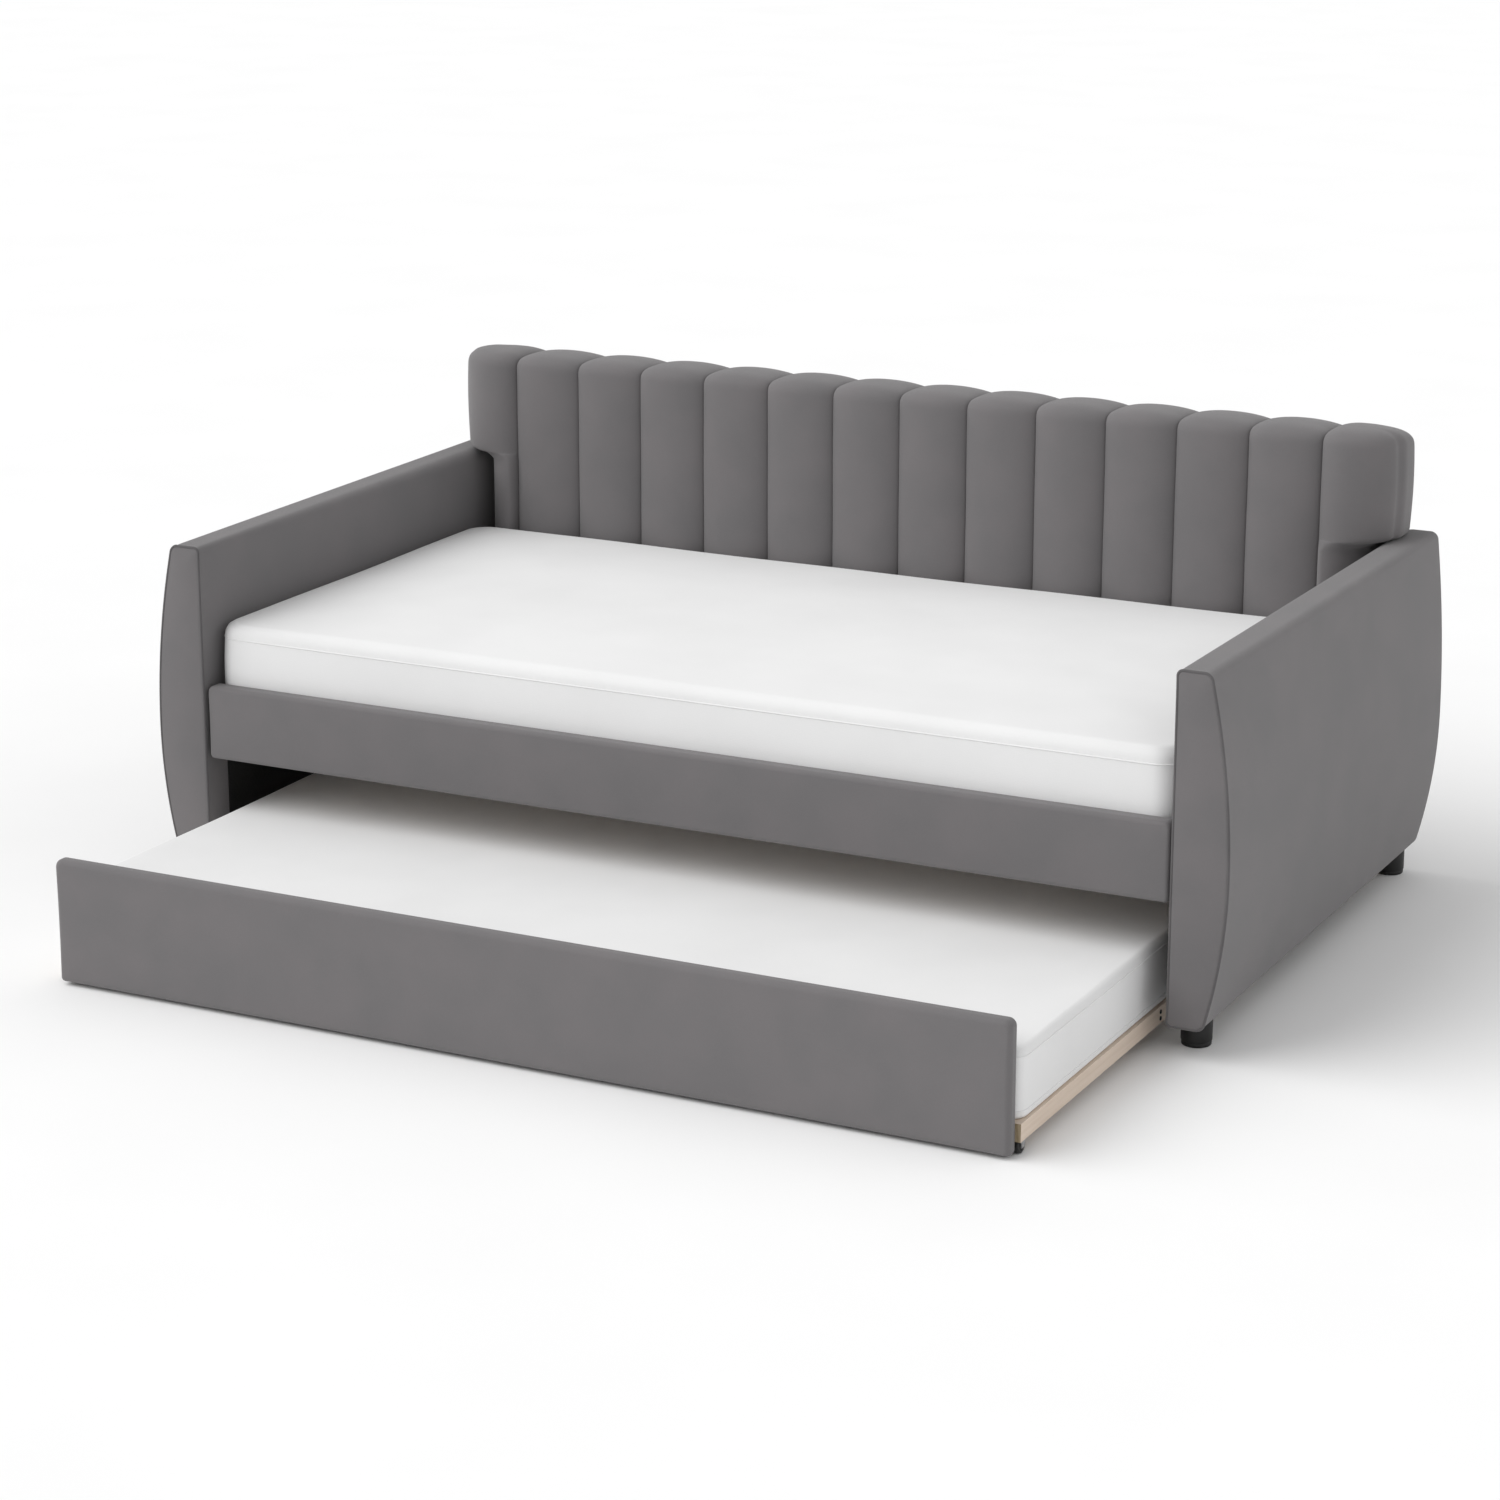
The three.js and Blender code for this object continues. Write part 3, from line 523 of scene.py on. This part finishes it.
def back_plan(edge, lo, hi, crest, depth, far_radius):
    """Front and back lines of the backrest in plan as matching points, and how full the cloth is at each. A channel
    stands bulge b(t) before its seams. The end one curves back as a quarter ellipse, creased at 72 degrees, where the
    front cloth ends, and the side border runs on to a round back corner."""
    valley = lo.y + CHANNEL_BULGE
    t = np.sin(pi / 2 * run(-1, 1, 24))
    x = (-OUTER_SEAM + SEAM_PITCH * (np.arange(SEAMS - 1)[:, None] + (t + 1) / 2)).ravel()
    rise = np.sin(pi / 2 * run(-1, 0, 12))
    q = np.linspace(0, pi / 2, 24)
    fold = 1 - CREASE_DEPTH * np.exp(-((q - SIDE_CREASE) / CREASE_WIDTH) ** 2)
    end_x = np.concatenate([OUTER_SEAM + (crest - OUTER_SEAM) * (1 + rise), crest + (edge - crest) * np.sin(q) * fold])
    end_y = np.concatenate([valley - CHANNEL_BULGE * fullness(rise), lo.y + depth * (1 - np.cos(q) * fold)])
    full, end_full = np.tile(fullness(t), SEAMS - 1), np.concatenate([fullness(rise), np.ones(24)])
    turn = run(0, pi / 2, 10)
    side_x = np.concatenate([run(crest, edge - far_radius, 4), edge - far_radius * (1 - np.sin(turn)),
                             np.full(10, edge)])
    side_y = np.concatenate([np.full(4, hi.y), hi.y - far_radius * (1 - np.cos(turn)),
                             np.linspace(hi.y - far_radius, lo.y + depth, 10)])

    def whole(end, middle, sign=1):
        return np.concatenate([sign * end[::-1], middle, end])
    front = np.stack([whole(end_x, x, -1), whole(end_y, valley - CHANNEL_BULGE * full)], 1)
    back = np.stack([whole(np.concatenate([end_x[:12], side_x]), x, -1),
                     whole(np.concatenate([np.full(12, hi.y), side_y]), np.full(len(x), hi.y))], 1)
    return front, back, whole(end_full, full)


def make_backrest():
    """Rings of the plan, drawn in to a ridge at the bottom and over the top: z = shoulder + (crest - shoulder)
    sin(q) ** (2 / e) as the ring shrinks by cos(q) ** (2 / e), with e large at the front and small at the back."""
    lo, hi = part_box("backrest_cushion")
    seat_half = seat_half_width()
    front, back, full = back_plan(hi.x, lo, hi, HEAD_CREST, HEAD_TURN, HEAD_CORNER)
    seat_front, seat_back = back_plan(seat_half, lo, hi, SEAT_CREST, SEAT_TURN, SEAT_CORNER)[:2]

    def close(first, second):
        return np.concatenate([first, second[-2:0:-1]])
    head, seat = close(front, back), close(seat_front, seat_back)
    ridge = np.stack([front[:, 0].clip(-HEAD_CREST, HEAD_CREST), np.full(len(front), lo.y + PEAK)], 1)
    core, full = close(ridge, ridge), close(full, full)
    overhang = hi.x - seat_half
    under, arc, q = run(0, 1, 6), run(0, pi / 2, 6), np.linspace(0, pi / 2, 20)
    # how far round to the back a point looks from the ridge: 0 in front, 1 behind
    turned_back = ((head[:, 1] - core[:, 1]) / (hi.y - lo.y - PEAK)).clip(0, 1)
    turned_back = turned_back * turned_back * (3 - 2 * turned_back)
    shoulder = hi.z - FRONT_SHOULDER - (BACK_SHOULDER - FRONT_SHOULDER) * turned_back
    power = 2 / (FRONT_ROUND + (BACK_ROUND - FRONT_ROUND) * turned_back)
    # each row is (height, how far from the seat's outline to the head's, how much of the ring is left)
    rows = np.concatenate([np.stack(np.broadcast_arrays(*row), 1) for row in (
        (lo.z, 0, np.linspace(0, 1, 4)[:-1]),
        (run(lo.z, HEAD_BOTTOM - UNDER_FILL, 18), 0, 1),
        (HEAD_BOTTOM - UNDER_FILL * (1 - under) ** 2, under * (1 - HEAD_EDGE / overhang), 1),
        (HEAD_BOTTOM + HEAD_EDGE * (1 - np.cos(arc)), 1 - HEAD_EDGE / overhang * (1 - np.sin(arc)), 1))])
    z, widened, left = rows.T[:, :, None]
    wall = core + (seat + (head - seat) * widened[..., None] - core) * left[..., None]
    lower = np.dstack([wall, np.broadcast_to(z, wall.shape[:2])])
    rise = run(0, 1, 14)[:, None]
    middle = np.dstack([np.broadcast_to(head, (14,) + head.shape),
                        HEAD_BOTTOM + HEAD_EDGE + (shoulder - HEAD_BOTTOM - HEAD_EDGE) * rise])
    kept, raised = np.cos(q)[:, None].clip(0) ** power, np.sin(q)[:, None] ** power
    crest = hi.z - BORDER_DROP + TOP_BULGE * full
    upper = np.dstack([core + (head - core) * kept[..., None], shoulder + (crest - shoulder) * raised])
    points = np.concatenate([lower, middle, upper])
    # the ends of the head swell by about 4 mm half way up, and the front is a little uneven
    swell = np.sin(pi * ((points[..., 2] - HEAD_BOTTOM) / (hi.z - HEAD_BOTTOM)).clip(0, 1))
    points[..., 0] *= 1 + END_SWELL * swell * ((np.abs(points[..., 0]) - SWELL_FROM) / SWELL_OVER).clip(0, 1)
    loose = points[..., 1] < lo.y + BACK_LOOSE
    points[..., 1] += slack(points, BACK_SLACK, BACK_SLACK_REACH, 3) * loose
    piece("channelled_backrest", [points], GREY_CLOTH, "bed", ["backrest_cushion"])


# ---------------------------------------------------------------- mattresses

PAD_SLACK, PAD_SLACK_REACH, PAD_STILL = 0.0015, 0.5, 0.004
SEAM_CORD_RADIUS = 0.0014


def make_mattress(name, replaced, body, corner, edges, crown, bulge, seams):
    """Pad with a flat underside, sides that bulge outwards half way up and a top that rises by crown to its middle.
    Cords lie on the side seams, whose heights are measured from the underside."""
    lo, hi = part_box(replaced)
    sides = oblong((lo.y, hi.y), (lo.x, hi.x), [corner] * 4, end_steps=20, long_steps=90)

    def inset(depth):
        return -bulge * np.sin(pi * (depth - lo.z) / (hi.z - lo.z))
    profile = edge_profile(lo.z, hi.z + crown, *edges, 0.0, crown, face=20)
    profile[:, 1] += inset(profile[:, 0]).clip(-bulge, 0) * (profile[:, 2] == 0)
    points = rings(sides, profile, [1, 0, 2])
    on_top = points[..., 2] > hi.z - PAD_STILL
    points[..., 2] += slack(points, PAD_SLACK, PAD_SLACK_REACH, 4) * on_top
    piece(name, [points], TICKING, body, [replaced])
    heights = [lo.z + height for height in seams]
    paths = [rings(sides, np.array([[z, inset(z), 0.0]]), [1, 0, 2])[0] for z in heights]
    piece(name + "_seams", [cord(path, SEAM_CORD_RADIUS, (0, 0, 1), 8) for path in paths], TICKING, body)


# ---------------------------------------------------------------- stretched cloths

SHEET_EDGE_SHARE = 0.45


def make_sheet(name, replaced, material, body, order, radius, narrowed=None):
    """Thin cloth pulled flat, with a rounded edge; order is the axes across it, along it and through it. narrowed gives
    how much of its width is left at each point along."""
    lo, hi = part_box(replaced)
    across, along, thick = order
    sides = oblong((lo[across], hi[across]), (lo[along], hi[along]), [radius] * 4)
    if narrowed:
        for half in sides:
            half[:, 0] *= narrowed(half[:, 1])
    edge = (hi[thick] - lo[thick]) * SHEET_EDGE_SHARE
    profile = edge_profile(lo[thick], hi[thick], edge, edge, face=6, edge=4, side=2)
    cloth = piece(name, [rings(sides, profile, order)], material, body, [replaced])


# how far above the head's underside the rear cloth widens, and how much of its oblong it fills
CLOTH_STEP, BACK_CLOTH_FILLED = 0.002, 0.987


def back_cloth_share(height):
    """The cloth behind the back is narrower below the arms' tops, where it lies between them."""
    seat_share = seat_half_width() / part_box("back_cloth")[1].x
    return np.where(height > HEAD_BOTTOM + CLOTH_STEP, 1.0, seat_share)


# ---------------------------------------------------------------- fittings

FOOT_PROFILE_MM = [(0, 0), (24.5, 0), (25.8, 0.6), (26.3, 1.8), (26.4, 7.2), (26.0, 7.8), (26.2, 8.4), (27.3, 9.2),
                   (27.5, 10.4), (27.5, 53.6), (27.1, 54.9), (26.2, 55.3), (4, 55.3), (4, 77), (0, 77.4)]
WHEEL_PROFILE_MM = [(0, -4.6), (3.2, -4.6), (3.9, -4.0), (4.1, -3.0), (9.6, -3.0), (10.4, -3.6), (10.8, -5.4),
                    (11.4, -6.0), (13.2, -6.0), (14.4, -5.3), (14.9, -4.0), (15, -2.4)]
CAP_PROFILE_MM = [(0, 2.1), (1.5, 2.1), (3.2, 1.6), (4.1, 0.8), (4.3, 0), (4.3, -0.5), (0, -0.5)]


def make_foot(side, end):
    """Turned foot, standing on the floor."""
    replaced = f"{side}_{end}_foot"
    lo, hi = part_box(replaced)
    centre = ((lo.x + hi.x) / 2, (lo.y + hi.y) / 2, lo.z)
    points = turned(np.array(FOOT_PROFILE_MM) / 1000, centre, 2)
    piece(replaced + "_moulding", [points], FOOT_PLASTIC, "bed", [replaced])


def make_wheel(side, end):
    """Turned wheel, the same on both sides, on its own body."""
    replaced = f"trundle_{side}_{end}_wheel"
    lo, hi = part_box(replaced)
    half = np.array(WHEEL_PROFILE_MM) / 1000
    profile = np.concatenate([half, half[::-1] * (1, -1)])
    piece(f"{side}_{end}_caster_tyre", [turned(profile, (lo + hi) / 2, 0, 40)], WHEEL_PLASTIC,
          f"{side}_{end}_wheel", [replaced])


def make_caps(name, body, places):
    """Domed plastic caps over bolts: each place is (point on the face, axis, direction out of the face)."""
    profile = np.array(CAP_PROFILE_MM) / 1000
    grids = [turned(profile * (1, out), point, axis, 12) for point, axis, out in places]
    piece(name, grids, FOOT_PLASTIC, body)


def finish_cad_nodes():
    """Timber, board and steel nodes keep their shape and take their finish by name."""
    def finish_of(name):
        if name.endswith(("_bracket", "_fork")):
            return STEEL
        if "_slat_" in name or name in ("trundle_left_rail", "trundle_right_rail"):
            return TIMBER_Y
        if name.endswith(("_ledger", "_rail")):
            return TIMBER_X
        return BOARD
    for name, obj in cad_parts.items():
        obj.data.materials.clear()
        obj.data.materials.append(finish_of(name))


finish_cad_nodes()
for side, sign in (("left", -1), ("right", 1)):
    make_arm(side, sign)
    make_sheet(side + "_arm_underside_cloth", side + "_arm_base_cloth", LINING, "bed", [0, 1, 2], 0.004)
    make_sheet(side + "_arm_inner_lining", side + "_arm_lining", LINING, "bed", [2, 1, 0], 0.004)
    for end in ("front", "back"):
        make_foot(side, end)
        make_wheel(side, end)
make_front("front_rail_upholstery", "front_rail_cover", "bed", (0.008, 0.008, 0.012, 0.012), (0.009, 0.005), 0.0025)
make_front("trundle_front_upholstery", "trundle_front_cover", "trundle", (0.007, 0.007, 0.013, 0.013),
           (0.011, 0.006), 0.0015)
make_backrest()
make_sheet("backrest_rear_cloth", "back_cloth", GREY_CLOTH, "bed", [0, 2, 1], 0.012,
           back_cloth_share)
make_mattress("upper_mattress", "bed_mattress", "bed", 0.045, (0.016, 0.022), 0.016, 0.006, (0.172, 0.028))
make_mattress("trundle_bed_mattress", "trundle_mattress", "trundle", 0.030, (0.008, 0.016), 0.003, 0.001,
              (0.106, 0.014))

# two caps, one above the other, at the middle and at the back rail of each side rail
MIDDLE_CAPS_Y, CAP_HEIGHTS = -0.232, (0.034, 0.046)
rail_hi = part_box("trundle_right_rail")[1]
back_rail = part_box("trundle_back_rail")
make_caps("side_rail_bolt_caps", "trundle", [
    ((sign * rail_hi.x, y, z), 0, sign) for sign in (-1, 1)
    for y in (MIDDLE_CAPS_Y, (back_rail[0].y + back_rail[1].y) / 2) for z in CAP_HEIGHTS])


# ---------------------------------------------------------------- floor and light

def make_studio():
    """A large white floor, an even white sky and two broad suns."""
    size = FLOOR_HALF_SIZE
    mesh = bpy.data.meshes.new("studio_floor")
    mesh.from_pydata([(-size, -size, 0), (size, -size, 0), (size, size, 0), (-size, size, 0)], [], [(0, 1, 2, 3)])
    mesh.materials.append(floor_paint("matt_white_floor"))
    link(bpy.data.objects.new("studio_floor", mesh))
    world = bpy.data.worlds.new("studio")
    world.use_nodes = True
    sky = world.node_tree.nodes["Background"].inputs
    sky["Color"].default_value = (1, 1, 1, 1)
    sky["Strength"].default_value = SKY_STRENGTH
    bpy.context.scene.world = world
    for name, energy, towards in SUNS:
        sun = bpy.data.lights.new(name, "SUN")
        sun.energy, sun.angle = energy, SUN_ANGLE
        lamp = link(bpy.data.objects.new(name, sun))
        lamp.rotation_euler = Vector(towards).to_track_quat("Z", "Y").to_euler()
    bpy.context.scene.view_settings.view_transform = "Standard"


make_studio()
